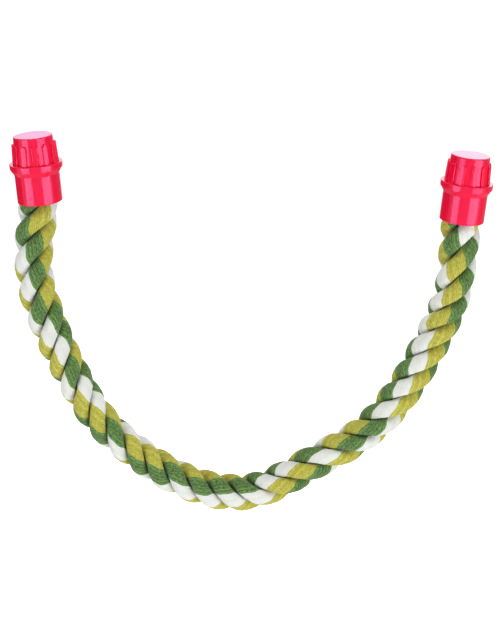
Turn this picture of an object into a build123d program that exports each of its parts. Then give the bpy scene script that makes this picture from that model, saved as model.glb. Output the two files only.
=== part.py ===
import math
import os

from build123d import *

# Bird perch: a thick laid rope on a bendable wire core, with a screw clamp for cage bars at each end.
# Millimetres. The origin is the middle of the left clamp's seat. +Z is up, +X runs to the right clamp
# and +Y away from the viewer. Each clamp is drawn on its own seat plane, whose normal is the clamp's axis.

# The right clamp's place from the left one, and how far each clamp leans outwards, in degrees
clamp_span = 330.0
clamp_drop = 15.3
left_lean = 4.0
right_lean = 5.5

# Rope, its wire core and its bound ends
rope_diameter = 30.0
wire_diameter = 3.0
wire_gap = 0.1
bound_diameter = 27.6
bound_length = 13.0
tape_thickness = 0.7
bond_gap = 0.05

# Rope cup, measured down from its seat
cup_diameter = 34.7
cup_length = 26.6
cup_wall = 1.8
lip_diameter = 39.6
lip_edge = 0.5
flare_length = 4.5
web_thickness = 3.2
mouth_round = 0.6

# Clamp bolt, with its hexagon head let into the cup's web
bolt_diameter = 12.0
bolt_hole_gap = 0.2
head_flats = 19.0
head_height = 5.0
head_gap = 0.15
tip_chamfer = 1.2
thread_gap = 0.1
bolt_end_gap = 1.0

# Bed of glue between the bolt's head, the cup's bore and the bound rope
glue_floor = 1.2

# Clamp washer, resting on the cup's lip
washer_diameter = 40.9
washer_foot_diameter = 40.6
washer_thickness = 4.3
washer_hole_gap = 0.3
washer_round = 0.5
washer_foot_chamfer = 0.3

# Cap nut, resting on the washer
nut_height = 20.9
nut_base_diameter = 33.0
nut_top_diameter = 30.0
nut_edge_round = 0.8
nut_wall = 2.2
nut_roof = 2.8
nut_boss_wall = 2.4
nut_bore_depth = 16.7

# Grip ribs of the cap nut, rounded over at the top and deeper at the base
rib_count = 12
rib_width = 4.4
rib_collar = 5.5
rib_base_depth = 1.3
rib_top_depth = 1.6
rib_round = 0.5
left_rib_turn = 7.5
right_rib_turn = 7.0

# Webs between the boss and the wall, under the cap nut
web_count = 6
web_angle = 9.0

# Bends of the rope between its two clamps, X and Z, chosen by hand along the photographed curve
route_bends = [
    (-6.5, -79), (2, -129), (20.5, -170), (43, -214), (84, -253), (127, -273.3),
    (172, -272.2), (213.5, -250), (257, -223), (289.5, -182), (311, -141), (323.5, -102),
]
bend_depth = 37.0
arc_run_share = 0.45

# Sizes that follow from the ones above
cup_bore = cup_diameter - 2 * cup_wall
bore_floor_depth = web_thickness + head_height + head_gap
rope_end_depth = bore_floor_depth + glue_floor
wire_bore = wire_diameter + 2 * wire_gap
tape_bore = bound_diameter + 2 * bond_gap
tape_diameter = tape_bore + 2 * tape_thickness
glue_bore = tape_diameter + 2 * bond_gap
glue_diameter = cup_bore - 2 * bond_gap
shank_length = web_thickness + washer_thickness + nut_bore_depth - bolt_end_gap
nut_bore = bolt_diameter + 2 * thread_gap
nut_boss_diameter = nut_bore + 2 * nut_boss_wall
rib_height = nut_height - rib_collar
nut_slope = (nut_base_diameter - nut_top_diameter) / 2 / nut_height

# Seat plane of each clamp
seats = {
    "left": Plane(Location((0, 0, 0), (0, -left_lean, 0))),
    "right": Plane(Location((clamp_span, 0, -clamp_drop), (0, right_lean, 0))),
}
rib_turns = {"left": left_rib_turn, "right": right_rib_turn}


def clamp_axis(seat):
    return Axis(seat.origin, seat.z_dir)


def section_plane(seat, turn=0):
    # Plane through the clamp's axis: its x is the radius, its y the height above the seat
    spoke = Plane(seat.location * Rotation(0, 0, turn))
    return Plane(spoke.origin, x_dir=spoke.x_dir, z_dir=-spoke.y_dir)


def facing_plane(seat, turn):
    # Plane through the clamp's axis that faces outwards: its x runs round, its y is the height
    spoke = Plane(seat.location * Rotation(0, 0, turn))
    return Plane(spoke.origin, x_dir=spoke.y_dir, z_dir=spoke.x_dir)


def point_below(seat, depth):
    place = seat.offset(-depth).origin
    return (place.X, place.Z)


def make_cup(seat):
    lip = lip_diameter / 2
    body = cup_diameter / 2
    bore = cup_bore / 2
    with BuildPart() as cup:
        with BuildSketch(section_plane(seat)):
            with BuildLine():
                Polyline(
                    (0, 0),
                    (lip, 0),
                    (lip, -lip_edge),
                    (body, -flare_length),
                    (body, -cup_length),
                    (bore, -cup_length),
                    (bore, -bore_floor_depth),
                    (0, -bore_floor_depth),
                    close=True,
                )
            make_face()
        revolve(axis=clamp_axis(seat))
        mouth = cup.edges().group_by(clamp_axis(seat))[0].sort_by(SortBy.RADIUS)[-1]
        fillet(mouth, radius=mouth_round)
        with BuildSketch(seat):
            Circle(bolt_diameter / 2 + bolt_hole_gap)
        extrude(amount=-bore_floor_depth, mode=Mode.SUBTRACT)
        with BuildSketch(seat.offset(-web_thickness)):
            RegularPolygon(head_flats / 2 + head_gap, side_count=6, major_radius=False)
        extrude(amount=-head_height - head_gap, mode=Mode.SUBTRACT)
    return cup


def make_bolt(seat):
    with BuildPart() as bolt:
        with BuildSketch(seat.offset(-web_thickness)):
            RegularPolygon(head_flats / 2, side_count=6, major_radius=False)
        extrude(amount=-head_height)
        with BuildSketch(seat.offset(-web_thickness)):
            Circle(bolt_diameter / 2)
        extrude(amount=shank_length)
        chamfer(bolt.edges().group_by(clamp_axis(seat))[-1], length=tip_chamfer)
    return bolt


def make_washer(seat):
    hole = bolt_diameter / 2 + washer_hole_gap
    with BuildPart() as washer:
        with BuildSketch(section_plane(seat)):
            with BuildLine():
                Polyline(
                    (hole, 0),
                    (washer_foot_diameter / 2, 0),
                    (washer_diameter / 2, washer_thickness),
                    (hole, washer_thickness),
                    close=True,
                )
            make_face()
        revolve(axis=clamp_axis(seat))
        foot, rim = washer.edges().filter_by(GeomType.CIRCLE).sort_by(SortBy.RADIUS)[-2:]
        chamfer(foot, length=washer_foot_chamfer)
        fillet(rim, radius=washer_round)
    return washer


def make_nut(seat, rib_turn):
    base = seat.offset(washer_thickness)
    rib_front = -90 + rib_turn
    rib_planes = [facing_plane(base, rib_front + 360 / rib_count * i) for i in range(rib_count)]
    pocket_step = 360 / web_count
    pocket_planes = [section_plane(base, rib_front + pocket_step * i) for i in range(web_count)]
    pocket_height = nut_height - nut_roof
    base_radius = nut_base_diameter / 2
    arch_radius = base_radius - nut_slope * rib_height
    wall_base = base_radius - nut_wall
    wall_top = wall_base - nut_slope * pocket_height
    with BuildPart() as nut:
        # Ribs: arched bars, cut back to a cone that overlaps the wall by half its thickness
        with BuildSketch(*rib_planes):
            with Locations((0, (rib_height - rib_width / 2) / 2)):
                Rectangle(rib_width, rib_height - rib_width / 2)
            with Locations((0, rib_height - rib_width / 2)):
                Circle(rib_width / 2)
        extrude(amount=base_radius + 2 * rib_base_depth)
        with BuildSketch(section_plane(base)):
            with BuildLine():
                Polyline(
                    (base_radius - nut_wall / 2, 0),
                    (base_radius + rib_base_depth, 0),
                    (arch_radius + rib_top_depth, rib_height),
                    (arch_radius - nut_wall / 2, rib_height),
                    close=True,
                )
            make_face()
        revolve(axis=clamp_axis(seat), mode=Mode.INTERSECT)
        rib_cones = nut.faces().filter_by(GeomType.CONE)
        rib_fronts = rib_cones.sort_by(lambda cone: cone.distance_to(base.origin))[-rib_count:]
        sides_and_arches = rib_fronts.edges().sort_by(clamp_axis(seat))[rib_count:]
        fillet(sides_and_arches, radius=rib_round)
        # Tapered body with its rounded top edge
        with BuildSketch(section_plane(base)):
            with BuildLine():
                Polyline(
                    (0, 0),
                    (base_radius, 0),
                    (nut_top_diameter / 2, nut_height),
                    (0, nut_height),
                    close=True,
                )
            make_face()
        revolve(axis=clamp_axis(seat))
        fillet(nut.edges().group_by(clamp_axis(seat))[-1], radius=nut_edge_round)
        # Pockets between the boss, the wall and the webs, open below
        with BuildSketch(*pocket_planes):
            with BuildLine():
                Polyline(
                    (nut_boss_diameter / 2, 0),
                    (wall_base, 0),
                    (wall_top, pocket_height),
                    (nut_boss_diameter / 2, pocket_height),
                    close=True,
                )
            make_face()
        revolve(axis=clamp_axis(seat), revolution_arc=pocket_step - web_angle, mode=Mode.SUBTRACT)
        with BuildSketch(base):
            Circle(nut_bore / 2)
        extrude(amount=nut_bore_depth, mode=Mode.SUBTRACT)
    return nut


def make_tape(seat):
    with BuildPart() as tape:
        with BuildSketch(seat.offset(-rope_end_depth)):
            Circle(tape_diameter / 2)
            Circle(tape_bore / 2, mode=Mode.SUBTRACT)
        extrude(amount=-bound_length)
    return tape


def make_glue(seat):
    with BuildPart() as glue:
        with BuildSketch(seat.offset(-bore_floor_depth)):
            Circle(glue_diameter / 2)
        extrude(amount=-glue_floor - bound_length)
        with BuildSketch(seat.offset(-rope_end_depth)):
            Circle(glue_bore / 2)
        extrude(amount=-bound_length, mode=Mode.SUBTRACT)
    return glue


def route_radii(points):
    # Each arc is as large as its two runs allow
    radii = []
    for before, corner, after in zip(points, points[1:], points[2:]):
        run_in = Vector(corner) - Vector(before)
        run_out = Vector(after) - Vector(corner)
        half_turn = math.radians(run_in.get_angle(run_out)) / 2
        radii.append(arc_run_share * min(run_in.length, run_out.length) / math.tan(half_turn))
    return radii


def draw_route():
    points = [
        point_below(seats["left"], rope_end_depth),
        point_below(seats["left"], bend_depth),
        *route_bends,
        point_below(seats["right"], bend_depth),
        point_below(seats["right"], rope_end_depth),
    ]
    radii = route_radii(points)
    print("route radii:", [round(radius) for radius in radii])
    with BuildLine(Plane.XZ) as route:
        FilletPolyline(*points, radius=radii)
    return route.wire()


def make_rope(route):
    with BuildPart() as rope:
        with BuildSketch(Plane(route @ 0, z_dir=route % 0)) as profile:
            Circle(rope_diameter / 2)
            Circle(wire_bore / 2, mode=Mode.SUBTRACT)
        sweep(path=route)
        print("rope length:", round(route.length, 1), "mm, volume over section times length:",
              round(rope.part.volume / (profile.sketch.area * route.length), 5))
        # The two ends are drawn in under their binding
        with BuildSketch(*[seat.offset(-rope_end_depth) for seat in seats.values()]):
            Circle(rope_diameter)
            Circle(bound_diameter / 2, mode=Mode.SUBTRACT)
        extrude(amount=-bound_length, mode=Mode.SUBTRACT)
    return rope


def make_wire(route):
    with BuildPart() as wire:
        with BuildSketch(Plane(route @ 0, z_dir=route % 0)):
            Circle(wire_diameter / 2)
        sweep(path=route)
    return wire


def save(piece, label):
    piece.part.label = label
    export_step(piece.part, f"parts/{label}.step")


os.makedirs("parts", exist_ok=True)

rope_route = draw_route()
save(make_rope(rope_route), "rope")
save(make_wire(rope_route), "core_wire")

for side, seat in seats.items():
    save(make_cup(seat), f"{side}_rope_cup")
    save(make_bolt(seat), f"{side}_clamp_bolt")
    save(make_washer(seat), f"{side}_clamp_washer")
    save(make_nut(seat, rib_turns[side]), f"{side}_cap_nut")
    save(make_tape(seat), f"{side}_end_tape")
    save(make_glue(seat), f"{side}_glue_bed")
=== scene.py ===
import math

import bpy
import numpy as np
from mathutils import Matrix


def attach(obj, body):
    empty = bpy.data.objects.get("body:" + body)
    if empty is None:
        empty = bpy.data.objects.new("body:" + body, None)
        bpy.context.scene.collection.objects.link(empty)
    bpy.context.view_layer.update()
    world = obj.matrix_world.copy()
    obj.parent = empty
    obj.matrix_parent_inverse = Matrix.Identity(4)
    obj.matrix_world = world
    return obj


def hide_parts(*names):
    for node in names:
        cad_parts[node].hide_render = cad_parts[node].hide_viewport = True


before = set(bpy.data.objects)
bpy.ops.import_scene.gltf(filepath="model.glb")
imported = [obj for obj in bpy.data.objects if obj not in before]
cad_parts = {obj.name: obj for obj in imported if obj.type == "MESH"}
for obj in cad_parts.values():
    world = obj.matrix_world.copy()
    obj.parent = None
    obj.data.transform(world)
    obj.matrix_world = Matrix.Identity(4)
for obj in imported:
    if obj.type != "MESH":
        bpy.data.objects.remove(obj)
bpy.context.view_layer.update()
scene = bpy.context.scene
scene.view_settings.view_transform = "Standard"
print("frame loaded:", len(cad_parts), "nodes")


# small helpers for objects
def deselectAll():
    bpy.ops.object.select_all(action="DESELECT")


def addObject(name, data):
    thing = bpy.data.objects.new(name, data)
    scene.collection.objects.link(thing)
    return thing


def paint(thing, material):
    thing.data.materials.clear()
    thing.data.materials.append(material)


# camera: the photograph's view, looking down on the perch
cameraLook = {
    "place": (0.16444, -1.18190, 0.28234),
    "pitch": 19.0,   # degrees below level
    "focalPixels": 1578.0,
    "imageHeight": 642.0,
    "sensorHeight": 24.0,
}


def setCamera(look):
    deselectAll()
    tilt = math.radians(90 - look["pitch"])
    bpy.ops.object.camera_add(location=look["place"], rotation=(tilt, 0, 0))
    camera = bpy.context.object
    camera.name = "photoCamera"
    camera.data.sensor_fit = "VERTICAL"
    camera.data.sensor_height = look["sensorHeight"]
    camera.data.lens = look["focalPixels"] * look["sensorHeight"] / look["imageHeight"]
    scene.camera = camera


setCamera(cameraLook)
print("camera set")


# small helpers for node trees
def setInputs(node, values):
    for socket, value in values.items():
        node.inputs[socket].default_value = value


def addNode(tree, kind, place, values=None, **settings):
    node = tree.nodes.new(kind)
    node.location = place
    for key, value in settings.items():
        setattr(node, key, value)
    setInputs(node, values or {})
    return node


def addMath(tree, operation, place, values=None, **settings):
    return addNode(tree, "ShaderNodeMath", place, values, operation=operation, **settings)


def addMix(tree, place, values=None):
    return addNode(tree, "ShaderNodeMix", place, values, data_type="RGBA")


def addBump(tree, bump):
    strength, distance = bump
    return addNode(tree, "ShaderNodeBump", (-250, -150), {"Strength": strength, "Distance": distance})


def linkNodes(tree, links):
    # each link is a node, its output, the next node and its input
    for start, output, end, entry in links:
        tree.links.new(start.outputs[output], end.inputs[entry])


def newGroup(name, inputs, outputs):
    group = bpy.data.node_groups.new(name, "ShaderNodeTree")
    for way, sockets in (("INPUT", inputs), ("OUTPUT", outputs)):
        for label, kind in sockets.items():
            group.interface.new_socket(label, in_out=way, socket_type="NodeSocket" + kind)
    return group


def newMaterial(name):
    material = bpy.data.materials.new(name)
    material.use_nodes = True
    tree = material.node_tree
    return material, tree, tree.nodes["Principled BSDF"]


def makeGrained(name, group, values, bump, finish):
    # what varies comes from the group, what is the same all over is set on the shader
    material, tree, shader = newMaterial(name)
    grain = addNode(tree, "ShaderNodeGroup", (-500, 200), values, node_tree=group)
    relief = addBump(tree, bump)
    linkNodes(tree, [
        (grain, "Colour", shader, "Base Color"), (grain, "Roughness", shader, "Roughness"),
        (grain, "Height", relief, "Height"), (relief, "Normal", shader, "Normal"),
    ])
    setInputs(shader, finish)
    return material


# yarns in each strand, for the cotton's pattern and for the rope's shape
yarnsPerStrand = 30

# cotton: streaks of fibre along each yarn, yarns that differ a little in tone, and painted shade as
# dark lines in the grooves between some yarns
cottonLook = {
    "fibresAlong": 420.0,   # to the metre along the strand
    "fibresRound": 56.0,   # once round it
    "fibreDetail": 4.0,
    "fibreRoughness": 0.75,
    "fibreRange": (0.35, 0.65),   # noise that counts as light and as dark
    "toneSpread": 0.3,
    # the painted groove shade reaches this far from each line
    "grooveShadeWidth": 0.3,   # share of a yarn, on each side of the line
    # colour of the painted shade in the creases between strands
    "paintedCreaseShadeColour": (0.020, 0.026, 0.012, 1),
    "rough": (0.82, 0.95),
    "bump": (0.45, 0.00025),   # strength and distance
    "specular": 0.2,
    "sheenRoughness": 0.5,
    # in each colour, crease is the depth of the painted shade in the creases between strands
    "colours": {
        # in each colour, lines is the depth of the painted shade in the grooves between yarns
        "mustardCotton": {
            "colour": (0.765, 0.733, 0.134, 1), "shade": (0.378, 0.355, 0.048, 1),
            "streaks": 0.80, "lines": 0.40, "paintedCreaseShade": 0.80, "sheen": 0.15,
        },
        "greenCotton": {
            "colour": (0.248, 0.456, 0.136, 1), "shade": (0.057, 0.114, 0.030, 1),
            "streaks": 0.90, "lines": 0.45, "paintedCreaseShade": 0.80, "sheen": 0.15,
        },
        "whiteCotton": {
            "colour": (0.925, 0.930, 0.905, 1), "shade": (0.730, 0.765, 0.675, 1),
            "streaks": 0.55, "lines": 0.50, "paintedCreaseShade": 0.45, "sheen": 0.30,
        },
    },
}


def makeCottonGroup(look):
    group = newGroup(
        "cottonFibres",
        {"Colour": "Color", "Shade": "Color", "Yarns": "Float", "Fibres Along": "Float",
         "Fibres Round": "Float", "Streaks": "Float", "Tone Spread": "Float", "Painted Groove Shade": "Float",
         "Painted Crease Shade": "Float"},
        {"Colour": "Color", "Height": "Float", "Roughness": "Float"},
    )
    source = addNode(group, "NodeGroupInput", (-1200, 0))
    drain = addNode(group, "NodeGroupOutput", (700, 0))
    surface = addNode(group, "ShaderNodeUVMap", (-1200, 300), uv_map="yarnMap")
    split = addNode(group, "ShaderNodeSeparateXYZ", (-1000, 300))
    # fibres: noise drawn out along the yarns
    alongScale = addMath(group, "MULTIPLY", (-800, 380))
    roundScale = addMath(group, "MULTIPLY", (-800, 220))
    fibreSpace = addNode(group, "ShaderNodeCombineXYZ", (-600, 300))
    fibres = addNode(group, "ShaderNodeTexNoise", (-400, 300), noise_dimensions="2D", values={
        "Scale": 1.0, "Detail": look["fibreDetail"], "Roughness": look["fibreRoughness"]})
    light, dark = look["fibreRange"]
    fibreTone = addNode(group, "ShaderNodeMapRange", (-200, 300), {"From Min": light, "From Max": dark})
    # each yarn has its own tone
    yarnPlace = addMath(group, "MULTIPLY", (-800, 20))
    yarnNumber = addMath(group, "FLOOR", (-600, 20))
    yarnTone = addNode(group, "ShaderNodeTexWhiteNoise", (-400, 20), noise_dimensions="1D")
    spread = addMath(group, "MULTIPLY", (-200, 20))
    streaks = addMath(group, "MULTIPLY_ADD", (0, 300))
    # painted groove shade: number of the nearest line between two yarns, and the distance from it
    halfYarn = 0.5
    between = addMath(group, "ADD", (-600, -180), {1: halfYarn})
    lineNumber = addMath(group, "FLOOR", (-400, -160))
    grooveShadeTone = addNode(group, "ShaderNodeTexWhiteNoise", (-200, -160), noise_dimensions="1D")
    lineSpot = addMath(group, "PINGPONG", (-400, -340), {1: halfYarn})
    grooveShadeMask = addNode(group, "ShaderNodeMapRange", (-200, -340), {
        "From Max": look["grooveShadeWidth"], "To Min": 1.0, "To Max": 0.0})
    # painted shade along each line, deeper at some lines than at others
    grooveShadeDark = addMath(group, "MULTIPLY", (0, -200))
    grooveShadeDepth = addMath(group, "MULTIPLY", (150, -200))
    mixShare = addMath(group, "ADD", (150, 160), use_clamp=True)
    colours = addMix(group, (250, 160))
    # painted shade: dark where a strand turns in against its neighbour
    paintedCreaseShade = addNode(group, "ShaderNodeAttribute", (150, 420), attribute_name="paintedCreaseShade")
    paintedCreaseShadeShare = addMath(group, "MULTIPLY", (300, 420))
    paintedCreaseShaded = addMix(group, (450, 250), {"B": look["paintedCreaseShadeColour"]})
    smoothest, roughest = look["rough"]
    rough = addNode(group, "ShaderNodeMapRange", (250, -160), {"To Min": smoothest, "To Max": roughest})
    linkNodes(group, [
        (surface, "UV", split, 0),
        (split, "X", alongScale, 0), (source, "Fibres Along", alongScale, 1),
        (split, "Y", roundScale, 0), (source, "Fibres Round", roundScale, 1),
        (alongScale, 0, fibreSpace, "X"), (roundScale, 0, fibreSpace, "Y"),
        (fibreSpace, 0, fibres, "Vector"), (fibres, "Fac", fibreTone, "Value"),
        (split, "Y", yarnPlace, 0), (source, "Yarns", yarnPlace, 1),
        (yarnPlace, 0, yarnNumber, 0), (yarnNumber, 0, yarnTone, "W"),
        (yarnTone, "Value", spread, 0), (source, "Tone Spread", spread, 1),
        (fibreTone, "Result", streaks, 0), (source, "Streaks", streaks, 1), (spread, 0, streaks, 2),
        (yarnPlace, 0, between, 0), (between, 0, lineNumber, 0), (lineNumber, 0, grooveShadeTone, "W"),
        (yarnPlace, 0, lineSpot, 0), (lineSpot, 0, grooveShadeMask, "Value"),
        (grooveShadeMask, "Result", grooveShadeDark, 0), (grooveShadeTone, "Value", grooveShadeDark, 1),
        (grooveShadeDark, 0, grooveShadeDepth, 0), (source, "Painted Groove Shade", grooveShadeDepth, 1),
        (streaks, 0, mixShare, 0), (grooveShadeDepth, 0, mixShare, 1),
        (mixShare, 0, colours, "Factor"),
        (source, "Colour", colours, "A"), (source, "Shade", colours, "B"),
        (paintedCreaseShade, "Fac", paintedCreaseShadeShare, 0), (source, "Painted Crease Shade", paintedCreaseShadeShare, 1),
        (paintedCreaseShadeShare, 0, paintedCreaseShaded, "Factor"), (colours, "Result", paintedCreaseShaded, "A"),
        (fibreTone, "Result", rough, "Value"),
        (paintedCreaseShaded, "Result", drain, "Colour"), (fibreTone, "Result", drain, "Height"),
        (rough, "Result", drain, "Roughness"),
    ])
    return group


def makeCotton(name, group, look):
    own = look["colours"][name]
    values = {
        "Colour": own["colour"], "Shade": own["shade"], "Yarns": yarnsPerStrand,
        "Fibres Along": look["fibresAlong"], "Fibres Round": look["fibresRound"],
        "Streaks": own["streaks"], "Tone Spread": look["toneSpread"],
        "Painted Groove Shade": own["lines"], "Painted Crease Shade": own["paintedCreaseShade"],
    }
    return makeGrained(name, group, values, look["bump"], {
        "Specular IOR Level": look["specular"],
        "Sheen Weight": own["sheen"], "Sheen Roughness": look["sheenRoughness"],
    })


cottonGroup = makeCottonGroup(cottonLook)
cottons = [makeCotton(name, cottonGroup, cottonLook) for name in cottonLook["colours"]]
print("cotton ready:", [cotton.name for cotton in cottons])


# rope: three laid strands of yarn round the bendable wire, on one smooth route from cup to cup
ropeLook = {
    "diameter": 0.030,
    # bends from the left cup round to the right one, X and Z in metres
    "route": [
        (0.000666, -0.009527), (0.001853, -0.026500), (-0.0037, -0.0515), (-0.0067, -0.0858),
        (0.0026, -0.1248), (0.0208, -0.1706), (0.0418, -0.2118), (0.0843, -0.2504), (0.1285, -0.2728),
        (0.1706, -0.2746), (0.2130, -0.2480), (0.2595, -0.2207), (0.2872, -0.1848), (0.3091, -0.1398),
        (0.3238, -0.1034), (0.3263, -0.0693), (0.327450, -0.041780), (0.329085, -0.024806),
    ],
    "routeSteps": 100,   # points to each bend of the line that the strands follow
    "wireDiameter": 0.003,
    "wireSteps": 16,   # rings to each bend
    "wireRoundness": 4,
    "rings": 830,
    "pathStep": 5,   # rings between the points of the path
    "strands": 3,   # their section is drawn for three
    "yarns": yarnsPerStrand,
    # mustard, green and white yarns, in turn round each strand
    "yarnsPerColour": (11, 10, 9),
    "columnsPerYarn": 4,
    # section of one strand: its middle from the rope's axis, half its depth and half its width
    "strandMiddle": 0.0080,
    "strandDepth": 0.0070,
    "strandWidth": 0.0085,
    "strandCorner": 7.0,   # higher gives sharper corners
    "wireGap": 0.0003,
    # the inner side swells from an angle on, over a run, both in radians
    "strandSwell": 0.065,
    "swellStart": 1.95,
    "swellRun": 0.4,
    # degrees from the outside where the painted crease shade starts and is full
    "paintedCreaseShadeAngles": (113, 127),
    # yarns: grooves between them, spread of their heights, and slow waves along them
    "yarnGroove": 0.00030,
    "yarnSpread": 0.00009,
    "waveHeight": 0.00005,
    "wavePitches": (0.007, 0.013, 0.024),
    # girth along the rope: drawn in under the binding, held by the cup, full just outside it
    "girth": [
        (0.0000, 0.910), (0.0135, 0.910), (0.0165, 0.980), (0.0185, 0.990), (0.0225, 1.050),
        (0.0400, 1.050), (0.0700, 1.000), (0.1050, 1.020), (0.1500, 0.980), (0.2000, 0.965),
        (0.2400, 0.950), (0.2800, 0.985), (0.3350, 1.020), (0.3850, 0.970), (0.4500, 0.970),
        (0.5000, 1.000), (0.5600, 1.000), (0.6100, 1.010), (0.6350, 1.050), (0.6523, 1.050),
        (0.6563, 0.990), (0.6583, 0.980), (0.6613, 0.910), (0.6748, 0.910),
    ],
    # where each strand crosses the front, in metres along the rope
    "crossings": [
        -0.0348, -0.0127, 0.0093, 0.0308, 0.0535, 0.0783, 0.1020, 0.1244, 0.1449, 0.1638, 0.1852,
        0.2073, 0.2300, 0.2512, 0.2712, 0.2936, 0.3140, 0.3360, 0.3566, 0.3791, 0.4029, 0.4275,
        0.4508, 0.4710, 0.4940, 0.5168, 0.5398, 0.5623, 0.5814, 0.6012, 0.6256, 0.6491, 0.6698,
    ],
    # degrees that the yarns turn in their strand in one lay, and how much further towards the inside
    # the green ones have turned at each crossing
    "yarnTurn": 720.0,
    "greenTurns": [
        -149, -73, -74, -93, 20, 50, -11, 113, 159, 43, 205, 260, 59, 309, 336, 75, 413,
        464, 100, 594, 628, 159, 752, 733, 171, 886, 874, 204, 1011, 970, 263, 1168, 1150,
    ],
    # rings on each side that even out the turns and the girth
    "turnSmoothing": 12,
    "girthSmoothing": 2,
    "seed": 7,
}


def drawRoute(name, look, steps, radius):
    # the route as one smooth curve: a bare line, or a round wire with closed ends
    curve = bpy.data.curves.new(name, "CURVE")
    curve.dimensions = "3D"
    curve.resolution_u = steps
    curve.bevel_depth = radius
    curve.bevel_resolution = look["wireRoundness"]
    curve.use_fill_caps = True
    spline = curve.splines.new("NURBS")
    spline.points.add(len(look["route"]) - 1)
    for point, (x, z) in zip(spline.points, look["route"]):
        point.co = (x, 0, z, 1)
    spline.order_u = 3
    spline.use_endpoint_u = True
    holder = addObject(name, curve)
    bpy.context.view_layer.update()
    drawn = bpy.data.meshes.new_from_object(holder)
    bpy.data.objects.remove(holder)
    bpy.data.curves.remove(curve)
    drawn.name = name
    return drawn


def readRoute(look):
    drawn = drawRoute("ropeRoute", look, look["routeSteps"], 0.0)
    line = np.array([vertex.co[:] for vertex in drawn.vertices])
    bpy.data.meshes.remove(drawn)
    return line


def evenRings(line, count):
    steps = np.linalg.norm(np.diff(line, axis=0), axis=1)
    stations = np.concatenate([[0.0], np.cumsum(steps)])
    along = np.linspace(0.0, stations[-1], count)
    middle = np.column_stack([np.interp(along, stations, line[:, axis]) for axis in range(3)])
    forward = np.gradient(middle, along, axis=0)
    forward /= np.linalg.norm(forward, axis=1)[:, None]
    return along, middle, forward


def smoothed(values, width):
    # running mean, with the ends carried on in line
    ahead = 2 * values[0] - values[width:0:-1]
    after = 2 * values[-1] - values[-2:-width - 2:-1]
    padded = np.concatenate([ahead, values, after])
    window = np.ones(2 * width + 1) / (2 * width + 1)
    return np.convolve(padded, window, mode="valid")


def carriedOn(along, stations, values):
    # straight lines through the given values, carried on past both ends
    first = (values[1] - values[0]) / (stations[1] - stations[0])
    last = (values[-1] - values[-2]) / (stations[-1] - stations[-2])
    reach = along[-1]
    stations = np.concatenate([[stations[0] - reach], stations, [stations[-1] + reach]])
    values = np.concatenate([[values[0] - first * reach], values, [values[-1] + last * reach]])
    return np.interp(along, stations, values)


def strandTurns(number, along, stretch, look):
    # turn of the strand round the rope, and of its yarns round the strand, at each ring
    crossings = np.array(look["crossings"]) * stretch
    apart = 360.0 / look["strands"]
    lay = carriedOn(along, crossings, apart * np.arange(len(crossings)))
    lay = smoothed(lay, look["turnSmoothing"])
    turn = np.radians(90 + lay - apart * number)
    own = np.arange(number, len(crossings), look["strands"])
    mustards, greens = look["yarnsPerColour"][:2]
    greenMiddle = 360.0 * (mustards + greens / 2) / look["yarns"]
    spin = greenMiddle + np.array(look["greenTurns"])[own] + look["yarnTurn"] * np.arange(len(own))
    spin = smoothed(carriedOn(along, crossings[own], spin), look["turnSmoothing"])
    return turn, np.radians(spin)


def strandRadius(angle, look):
    # rounded section that fills its third of the rope and leaves room for the wire
    middle, corner = look["strandMiddle"], look["strandCorner"]
    cosine, sine = np.cos(angle), np.sin(np.abs(angle))
    oval = 1 / np.sqrt((cosine / look["strandDepth"]) ** 2 + (sine / look["strandWidth"]) ** 2)
    # the flat sides against the neighbours and the wire limit it only where it leans towards them
    leastLean, farOff = 0.05, 1.0
    lean = sine - math.sqrt(3) * cosine
    side = np.where(lean > leastLean, math.sqrt(3) * middle / np.maximum(lean, leastLean), farOff)
    core = middle - look["wireDiameter"] / 2 - look["wireGap"]
    inside = np.where(cosine < -leastLean, core / np.maximum(-cosine, leastLean), farOff)
    reach = (oval ** -corner + side ** -corner + inside ** -corner) ** (-1 / corner)
    # the inner side swells to close on its neighbours, so that the wire doesn't show
    swell = np.clip((np.abs(angle) - look["swellStart"]) / look["swellRun"], 0, 1)
    return reach * (1 + look["strandSwell"] * swell)


def addYarns(reach, number, along, yarn, look):
    # each yarn is a soft ridge, thicker or thinner than its neighbours, and wanders a little
    chance = np.random.default_rng(look["seed"] + number)
    height = chance.normal(0, look["yarnSpread"], look["yarns"])[yarn]
    waves = np.zeros((len(along), look["yarns"]))
    for pitch in look["wavePitches"]:
        start = chance.uniform(0, 2 * math.pi, look["yarns"])
        waves += look["waveHeight"] * np.sin(2 * math.pi * along[:, None] / pitch + start[None, :])
    edge = np.arange(len(yarn)) % look["columnsPerYarn"] == 0
    groove = np.where(edge, -look["yarnGroove"], 0.0)
    return reach + height[None, :] + waves[:, yarn] + groove[None, :]


def tubeFaces(rings, columns):
    # quads from ring to ring, then triangles to a tip at each end
    faces = []
    pairs = [(column, (column + 1) % columns) for column in range(columns)]
    for base in range(0, (rings - 1) * columns, columns):
        above = base + columns
        faces += [(base + column, base + beside, above + beside, above + column)
                  for column, beside in pairs]
    startTip = rings * columns
    last = startTip - columns
    for column, beside in pairs:
        faces += [(startTip, beside, column), (startTip + 1, last + column, last + beside)]
    return faces


def mapYarns(mesh, along, columns):
    # the yarn map runs along the strand and once round it, and the tips are left out
    walls = len(along) - 1
    ring, column = np.repeat(np.arange(walls), columns), np.tile(np.arange(columns), walls)
    u0, u1 = along[ring], along[ring + 1]
    v0, v1 = column / columns, (column + 1) / columns
    wallMap = np.stack([u0, v0, u0, v1, u1, v1, u1, v0], axis=1).reshape(-1, 2)
    tipMap = np.zeros((2 * columns * 3, 2))
    layer = mesh.uv_layers.new(name="yarnMap")
    layer.data.foreach_set("uv", np.concatenate([wallMap, tipMap]).ravel())


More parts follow.
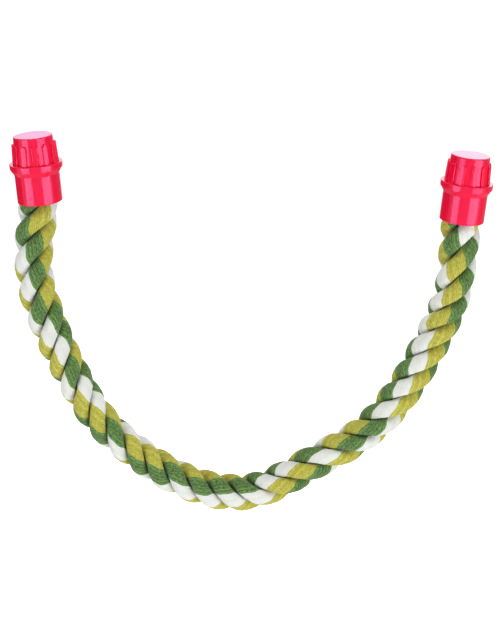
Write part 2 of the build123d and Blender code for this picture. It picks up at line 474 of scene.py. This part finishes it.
def paintCreaseShade(mesh, angle, look):
    # the painted shade starts where the strand turns in against its neighbour, and the tips have all of
    # it
    start, full = np.radians(look["paintedCreaseShadeAngles"])
    shade = np.clip((np.abs(angle) - start) / (full - start), 0, 1).ravel()
    paintedCreaseShade = mesh.attributes.new("paintedCreaseShade", "FLOAT", "POINT")
    paintedCreaseShade.data.foreach_set("value", np.concatenate([shade, [1.0, 1.0]]))


def makeStrand(number, along, middle, forward, look, cottons):
    girth = np.array(look["girth"])
    stretch = along[-1] / girth[-1, 0]
    turn, spin = strandTurns(number, along, stretch, look)
    front = np.array([0.0, -1.0, 0.0])
    inward = np.column_stack([-forward[:, 2], np.zeros(len(along)), forward[:, 0]])
    outward = np.cos(turn)[:, None] * inward + np.sin(turn)[:, None] * front
    sideways = -np.sin(turn)[:, None] * inward + np.cos(turn)[:, None] * front

    rings, columns = len(along), look["yarns"] * look["columnsPerYarn"]
    yarn = np.arange(columns) // look["columnsPerYarn"]
    share = np.arange(columns) / columns
    angle = 2 * math.pi * share[None, :] - spin[:, None]
    angle = (angle + math.pi) % (2 * math.pi) - math.pi
    reach = addYarns(strandRadius(angle, look), number, along, yarn, look)

    draw = np.interp(along, girth[:, 0] * stretch, girth[:, 1])
    draw = smoothed(draw, look["girthSmoothing"])[:, None]
    out = (look["strandMiddle"] + reach * np.cos(angle)) * draw
    across = reach * np.sin(angle) * draw
    points = middle[:, None, :] + out[:, :, None] * outward[:, None, :]
    points = points + across[:, :, None] * sideways[:, None, :]
    tips = [points[0].mean(axis=0).tolist(), points[-1].mean(axis=0).tolist()]

    name = "ropeStrand" + str(number + 1)
    mesh = bpy.data.meshes.new(name)
    mesh.from_pydata(points.reshape(-1, 3).tolist() + tips, [], tubeFaces(rings, columns))
    mapYarns(mesh, along, columns)
    paintCreaseShade(mesh, angle, look)
    for cotton in cottons:
        mesh.materials.append(cotton)
    yarnColour = np.repeat(np.arange(len(cottons)), look["yarnsPerColour"])[yarn]
    colour = np.concatenate([np.tile(yarnColour, rings - 1), np.repeat(yarnColour, 2)])
    mesh.polygons.foreach_set("material_index", colour.astype(np.int32))
    mesh.polygons.foreach_set("use_smooth", np.ones(len(colour), dtype=bool))
    mesh.update()
    return addObject(name, mesh)


along, middle, forward = evenRings(readRoute(ropeLook), ropeLook["rings"])
strands = [makeStrand(number, along, middle, forward, ropeLook, cottons)
           for number in range(ropeLook["strands"])]
for strand in strands:
    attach(strand, "perch")
    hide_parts("rope")
ropeFaces = sum(len(strand.data.polygons) for strand in strands)
print("rope laid:", round(along[-1] * 1000), "mm,", ropeFaces, "faces")

# wire: the bendable core, on the same route as the strands
wireMesh = drawRoute("coreWire", ropeLook, ropeLook["wireSteps"], ropeLook["wireDiameter"] / 2)
coreWire = addObject("coreWire", wireMesh)
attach(coreWire, "perch")
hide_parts("core_wire")

ropePath = [tuple(point) for point in middle[::ropeLook["pathStep"]].tolist()]
ropePath.append(tuple(middle[-1].tolist()))


# moulded plastic: slow changes of tone and gloss, and a faint skin
plasticLook = {
    "flowScale": 60.0,
    "skinScale": 1800.0,
    "noiseDetail": 2.0,
    "flowRange": (0.3, 0.7),   # noise that counts as smoothest and as roughest
    "skinDepth": 0.0001,
    "kinds": {
        "capRed": {
            "colour": (0.960, 0.005, 0.052, 1), "deep": (0.920, 0.003, 0.040, 1),
            "rough": (0.10, 0.15), "gloss": 0.40, "tint": (0.74, 0.50, 1.00, 1), "skin": 0.02,
        },
        "hotMelt": {
            "colour": (0.800, 0.710, 0.480, 1), "deep": (0.680, 0.570, 0.340, 1),
            "rough": (0.28, 0.42), "gloss": 0.50, "tint": (1.00, 1.00, 1.00, 1), "skin": 0.10,
        },
    },
}


def makeMouldedGroup(look):
    group = newGroup(
        "mouldedSkin",
        {"Colour": "Color", "Deep Colour": "Color", "Flow Scale": "Float", "Skin Scale": "Float",
         "Least Roughness": "Float", "Most Roughness": "Float"},
        {"Colour": "Color", "Height": "Float", "Roughness": "Float"},
    )
    source = addNode(group, "NodeGroupInput", (-800, 0))
    drain = addNode(group, "NodeGroupOutput", (500, 0))
    place = addNode(group, "ShaderNodeTexCoord", (-800, 300))
    flow = addNode(group, "ShaderNodeTexNoise", (-500, 300), {"Detail": look["noiseDetail"]})
    skin = addNode(group, "ShaderNodeTexNoise", (-500, 0), {"Detail": look["noiseDetail"]})
    colours = addMix(group, (100, 250))
    low, high = look["flowRange"]
    rough = addNode(group, "ShaderNodeMapRange", (100, -50), {"From Min": low, "From Max": high})
    linkNodes(group, [
        (place, "Object", flow, "Vector"), (source, "Flow Scale", flow, "Scale"),
        (place, "Object", skin, "Vector"), (source, "Skin Scale", skin, "Scale"),
        (flow, "Fac", colours, "Factor"),
        (source, "Colour", colours, "A"), (source, "Deep Colour", colours, "B"),
        (flow, "Fac", rough, "Value"),
        (source, "Least Roughness", rough, "To Min"), (source, "Most Roughness", rough, "To Max"),
        (colours, "Result", drain, "Colour"), (skin, "Fac", drain, "Height"),
        (rough, "Result", drain, "Roughness"),
    ])
    return group


def makePlastic(name, group, look):
    own = look["kinds"][name]
    smoothest, roughest = own["rough"]
    values = {
        "Colour": own["colour"], "Deep Colour": own["deep"],
        "Flow Scale": look["flowScale"], "Skin Scale": look["skinScale"],
        "Least Roughness": smoothest, "Most Roughness": roughest,
    }
    return makeGrained(name, group, values, (own["skin"], look["skinDepth"]), {
        "Specular IOR Level": own["gloss"], "Specular Tint": own["tint"],
    })


mouldedGroup = makeMouldedGroup(plasticLook)
capRed = makePlastic("capRed", mouldedGroup, plasticLook)
hotMelt = makePlastic("hotMelt", mouldedGroup, plasticLook)


# wire steel: bright, with dull patches
steelLook = {
    "bright": (0.62, 0.62, 0.63, 1),
    "dull": (0.40, 0.40, 0.41, 1),
    "patchScale": 140.0,
    "patchDetail": 4.0,
    "rough": (0.28, 0.52),
}


def makeSteel(look):
    material, tree, shader = newMaterial("drawnSteel")
    place = addNode(tree, "ShaderNodeTexCoord", (-900, 100))
    patches = addNode(tree, "ShaderNodeTexNoise", (-700, 100), {
        "Scale": look["patchScale"], "Detail": look["patchDetail"]})
    colours = addMix(tree, (-400, 200), {"A": look["bright"], "B": look["dull"]})
    smoothest, roughest = look["rough"]
    rough = addNode(tree, "ShaderNodeMapRange", (-400, -100), {"To Min": smoothest, "To Max": roughest})
    linkNodes(tree, [
        (place, "Object", patches, "Vector"),
        (patches, "Fac", colours, "Factor"), (colours, "Result", shader, "Base Color"),
        (patches, "Fac", rough, "Value"), (rough, "Result", shader, "Roughness"),
    ])
    setInputs(shader, {"Metallic": 1.0})
    return material


# binding tape: plain woven threads both ways
tapeLook = {
    "thread": (0.86, 0.84, 0.78, 1),
    "gap": (0.62, 0.60, 0.54, 1),
    "threadScale": 70.0,   # about 220 threads to the metre
    "threadWaver": 0.6,
    "bump": (0.4, 0.0002),   # strength and distance
    "rough": 0.85,
}


def makeTape(look):
    material, tree, shader = newMaterial("bindingTape")
    place = addNode(tree, "ShaderNodeTexCoord", (-1100, 100))
    weave = addMath(tree, "MULTIPLY", (-600, 100))
    waves = {"Scale": look["threadScale"], "Distortion": look["threadWaver"]}
    for number, direction in enumerate(("X", "Z")):
        spot = (-850, 250 - 300 * number)
        threads = addNode(tree, "ShaderNodeTexWave", spot, waves, bands_direction=direction)
        linkNodes(tree, [(place, "Object", threads, "Vector"), (threads, "Fac", weave, number)])
    colours = addMix(tree, (-400, 200), {"A": look["gap"], "B": look["thread"]})
    relief = addBump(tree, look["bump"])
    linkNodes(tree, [
        (weave, 0, colours, "Factor"), (colours, "Result", shader, "Base Color"),
        (weave, 0, relief, "Height"), (relief, "Normal", shader, "Normal"),
    ])
    setInputs(shader, {"Roughness": look["rough"]})
    return material


bindingTape = makeTape(tapeLook)
paint(coreWire, makeSteel(steelLook))
for side in ("left", "right"):
    for piece in ("rope_cup", "clamp_washer", "cap_nut"):
        paint(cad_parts[side + "_" + piece], capRed)
    paint(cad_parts[side + "_end_tape"], bindingTape)
    paint(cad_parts[side + "_glue_bed"], hotMelt)
print("caps, tapes and glue dressed")


# bolts: a coarse moulded thread on a hexagon head, seen when a cap nut is screwed up
boltLook = {
    "pitch": 0.003,
    "rootRadius": 0.0049,
    "crestRadius": 0.0060,
    "profile": (0.0009, 0.0006, 0.0009),   # flank, crest, flank along the axis; the root takes the rest
    "foot": -0.0032,
    "tip": 0.0200,
    "tipChamfer": 0.0012,
    "spareTurns": 2,   # cut off at the foot and the tip
    "stepsPerTurn": 48,
    "seamGap": 0.000001,
    "doublesGap": 0.000002,
    "headFlats": 0.019,
    "headHeight": 0.005,
    "headTurn": 30,
    "headBevel": 0.0005,
    "bevelSegments": 3,
    "smoothAngle": 35,
    "clamps": {
        "left": {"seat": (0, 0, 0), "lean": -4.0},
        "right": {"seat": (0.330, 0, -0.0153), "lean": 5.5},
    },
}


def cutLevel(height, keepAbove):
    bpy.ops.mesh.select_all(action="SELECT")
    bpy.ops.mesh.bisect(plane_co=(0, 0, height), plane_no=(0, 0, 1), use_fill=True,
                        clear_inner=keepAbove, clear_outer=not keepAbove)


def makeThread(look):
    # one vertex is drawn out into the outline of one thread, then screwed up the shank
    flank, crest, fall = look["profile"]
    rise = look["crestRadius"] - look["rootRadius"]
    root = look["pitch"] - flank - crest - fall
    turns = math.ceil((look["tip"] - look["foot"]) / look["pitch"]) + look["spareTurns"]
    deselectAll()
    bpy.ops.mesh.primitive_plane_add(size=look["pitch"])
    thread = bpy.context.object
    bpy.ops.object.mode_set(mode="EDIT")
    bpy.ops.mesh.merge(type="CENTER")
    bpy.ops.transform.translate(value=(look["rootRadius"], 0, look["foot"] - look["pitch"]))
    for step in ((rise, 0, flank), (0, 0, crest), (-rise, 0, fall), (0, 0, root)):
        bpy.ops.mesh.extrude_region_move(TRANSFORM_OT_translate={"value": step})
    bpy.ops.object.mode_set(mode="OBJECT")
    screw = thread.modifiers.new("screw", "SCREW")
    screw.axis = "Z"
    screw.angle = 2 * math.pi
    screw.screw_offset = look["pitch"]
    screw.iterations = turns
    screw.steps = screw.render_steps = look["stepsPerTurn"]
    screw.use_merge_vertices = True
    screw.merge_threshold = look["seamGap"]
    bpy.ops.object.modifier_apply(modifier="screw")
    bpy.ops.object.mode_set(mode="EDIT")
    bpy.ops.mesh.select_all(action="SELECT")
    bpy.ops.mesh.remove_doubles(threshold=look["doublesGap"])
    cutLevel(look["foot"], True)
    cutLevel(look["tip"], False)
    bpy.ops.mesh.select_all(action="SELECT")
    bpy.ops.mesh.normals_make_consistent(inside=False)
    bpy.ops.object.mode_set(mode="OBJECT")
    # lead-in at the tip
    for vertex in thread.data.vertices:
        reach = math.hypot(vertex.co.x, vertex.co.y)
        most = look["crestRadius"] - max(0.0, vertex.co.z - look["tip"] + look["tipChamfer"])
        if reach > most:
            vertex.co.x *= most / reach
            vertex.co.y *= most / reach
    return thread


def makeBolt(side, look, material):
    clamp = look["clamps"][side]
    thread = makeThread(look)
    deselectAll()
    bpy.ops.mesh.primitive_cylinder_add(
        vertices=6, radius=look["headFlats"] / math.sqrt(3), depth=look["headHeight"],
        location=(0, 0, look["foot"] - look["headHeight"] / 2),
        rotation=(0, 0, math.radians(look["headTurn"])))
    bolt = bpy.context.object
    bpy.ops.object.transform_apply(location=True, rotation=True, scale=True)
    edge = bolt.modifiers.new("edge", "BEVEL")
    edge.width = look["headBevel"]
    edge.segments = look["bevelSegments"]
    bpy.ops.object.modifier_apply(modifier="edge")
    thread.select_set(True)
    bpy.ops.object.join()
    bolt.rotation_euler = (0, math.radians(clamp["lean"]), 0)
    bolt.location = clamp["seat"]
    bpy.ops.object.transform_apply(location=True, rotation=True, scale=True)
    bpy.ops.object.shade_smooth_by_angle(angle=math.radians(look["smoothAngle"]))
    bolt.name = bolt.data.name = side + "ThreadedBolt"
    paint(bolt, material)
    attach(bolt, "perch")
    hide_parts(side + "_clamp_bolt")
    return bolt


bolts = [makeBolt(side, boltLook, capRed) for side in ("left", "right")]
print("bolts threaded:", [len(bolt.data.polygons) for bolt in bolts], "faces")


# stage: a pale floor well below, a white surround, softboxes, and cards for the gloss
stageLook = {
    "floorHeight": -0.72,
    "floorSize": 14.0,
    "floorColour": (0.92, 0.92, 0.92, 1),
    "floorGlow": 0.95,
    "surroundColour": (1, 1, 1, 1),
    "surroundLight": 0.22,
    # softboxes: place, width and height, power, and whether they show as reflections
    "boxes": {
        "leftSoftbox": {
            "place": (-1.078, -1.159, -0.30), "size": (1.10, 0.66), "power": 11.1, "shows": True,
        },
        "rightSoftbox": {
            "place": (1.430, -1.135, -0.30), "size": (1.45, 0.66), "power": 16.0, "shows": True,
        },
        "backSoftbox": {
            "place": (0.165, 1.350, 0.36), "size": (1.60, 0.62), "power": 12.0, "shows": False,
        },
        "topSoftbox": {
            "place": (0.165, -0.300, 1.40), "size": (1.20, 0.60), "power": 10.5, "shows": True,
        },
    },
    "boxTarget": (0.165, 0.0, -0.12),
    # cards, seen only as reflections: two ends on plan and the glow at each, and the height of the foot
    # a card with a top stands, one with a depth lies
    "cards": {
        "leftCard": {
            "ends": ((-0.245, 1.25), (-1.135, -0.10)), "foot": -0.70, "top": 0.15,
            "glows": ((0.08, 0.08, 0.08, 1), (0.08, 0.08, 0.08, 1)),
        },
        "rightCard": {
            "ends": ((0.575, 1.25), (1.465, -0.10)), "foot": -0.70, "top": 0.15,
            "glows": ((0.33, 0.33, 0.33, 1), (0.33, 0.33, 0.33, 1)),
        },
        "skyCard": {
            "ends": ((-0.635, 1.35), (0.965, 1.35)), "foot": 0.05, "top": 0.70,
            "glows": ((1.30, 1.38, 2.15, 1), (1.60, 2.75, 2.95, 1)),
        },
        "floorCard": {
            "ends": ((0.165, -0.45), (0.165, 1.45)), "foot": -0.710, "deep": 2.90,
            "glows": ((0.90, 0.90, 0.90, 1), (0.02, 0.02, 0.02, 1)),
        },
    },
}


def bareTree(owner, output, place):
    # the node tree of a material or world, with nothing in it but its output
    owner.use_nodes = True
    tree = owner.node_tree
    tree.nodes.clear()
    return tree, addNode(tree, output, place)


def addSeen(tree, x, y):
    # 1 for rays that show the background, also in gloss and through glass, 0 for those that give light
    path = addNode(tree, "ShaderNodeLightPath", (x - 400, y))
    direct = addMath(tree, "MAXIMUM", (x - 150, y))
    seen = addMath(tree, "MAXIMUM", (x, y))
    linkNodes(tree, [
        (path, "Is Camera Ray", direct, 0), (path, "Is Glossy Ray", direct, 1),
        (direct, 0, seen, 0), (path, "Is Transmission Ray", seen, 1),
    ])
    return seen


def makeFloor(look):
    deselectAll()
    bpy.ops.mesh.primitive_plane_add(size=look["floorSize"], location=(0, 0, look["floorHeight"]))
    floor = bpy.context.object
    floor.name = "paleFloor"
    material = bpy.data.materials.new("paleFloor")
    tree, out = bareTree(material, "ShaderNodeOutputMaterial", (600, 0))
    matt = addNode(tree, "ShaderNodeBsdfDiffuse", (0, 100), {"Color": look["floorColour"]})
    glow = addNode(tree, "ShaderNodeEmission", (0, -100))
    seen = addSeen(tree, -350, -100)
    strength = addMath(tree, "MULTIPLY", (-200, -100), {1: look["floorGlow"]})
    both = addNode(tree, "ShaderNodeAddShader", (300, 0))
    linkNodes(tree, [
        (seen, 0, strength, 0), (strength, 0, glow, "Strength"),
        (matt, 0, both, 0), (glow, 0, both, 1), (both, 0, out, "Surface"),
    ])
    paint(floor, material)


def makeSurround(look):
    world = bpy.data.worlds.new("whiteSurround")
    scene.world = world
    tree, out = bareTree(world, "ShaderNodeOutputWorld", (600, 0))
    light = addNode(tree, "ShaderNodeBackground", (0, 100), {
        "Color": look["surroundColour"], "Strength": look["surroundLight"]})
    white = addNode(tree, "ShaderNodeBackground", (0, -100), {"Color": look["surroundColour"]})
    seen = addSeen(tree, -100, 0)
    mix = addNode(tree, "ShaderNodeMixShader", (300, 0))
    linkNodes(tree, [
        (seen, 0, mix, "Fac"), (light, 0, mix, 1), (white, 0, mix, 2), (mix, 0, out, "Surface"),
    ])


def setLights(look):
    for name, box in look["boxes"].items():
        deselectAll()
        bpy.ops.object.light_add(type="AREA", location=box["place"])
        lamp = bpy.context.object
        lamp.name = name
        lamp.data.shape = "RECTANGLE"
        lamp.data.size, lamp.data.size_y = box["size"]
        lamp.data.energy = box["power"]
        lamp.visible_glossy = box["shows"]
        aim = np.array(look["boxTarget"]) - np.array(box["place"])
        tilt = math.atan2(math.hypot(aim[0], aim[1]), -aim[2])
        lamp.rotation_euler = (tilt, 0, math.atan2(aim[1], aim[0]) - math.pi / 2)


def placeCard(name, card):
    start, stop = (np.array(end) for end in card["ends"])
    centre = (start + stop) / 2
    run = stop - start
    if "top" in card:
        wide, tilt = card["top"] - card["foot"], math.pi / 2
        height = card["foot"] + wide / 2
    else:
        wide, tilt, height = card["deep"], 0, card["foot"]
    deselectAll()
    bpy.ops.mesh.primitive_plane_add(
        size=1, location=(centre[0], centre[1], height), rotation=(tilt, 0, math.atan2(run[1], run[0])))
    board = bpy.context.object
    board.name = name
    board.scale = (float(np.hypot(run[0], run[1])), wide, 1)
    bpy.ops.object.transform_apply(location=True, rotation=True, scale=True)
    return board


def makeCards(look):
    for name, card in look["cards"].items():
        board = placeCard(name, card)
        material = bpy.data.materials.new(name)
        tree, out = bareTree(material, "ShaderNodeOutputMaterial", (400, 0))
        place = addNode(tree, "ShaderNodeUVMap", (-400, 0))
        split = addNode(tree, "ShaderNodeSeparateXYZ", (-200, 0))
        near, far = card["glows"]
        blend = addMix(tree, (0, 0), {"A": near, "B": far})
        glow = addNode(tree, "ShaderNodeEmission", (200, 0))
        linkNodes(tree, [
            (place, "UV", split, 0), (split, "X", blend, "Factor"),
            (blend, "Result", glow, "Color"), (glow, 0, out, "Surface"),
        ])
        paint(board, material)
        board.visible_camera = False
        board.visible_diffuse = False
        board.visible_transmission = False
        board.visible_shadow = False


makeFloor(stageLook)
makeSurround(stageLook)
setLights(stageLook)
makeCards(stageLook)
print("stage lit")

deselectAll()
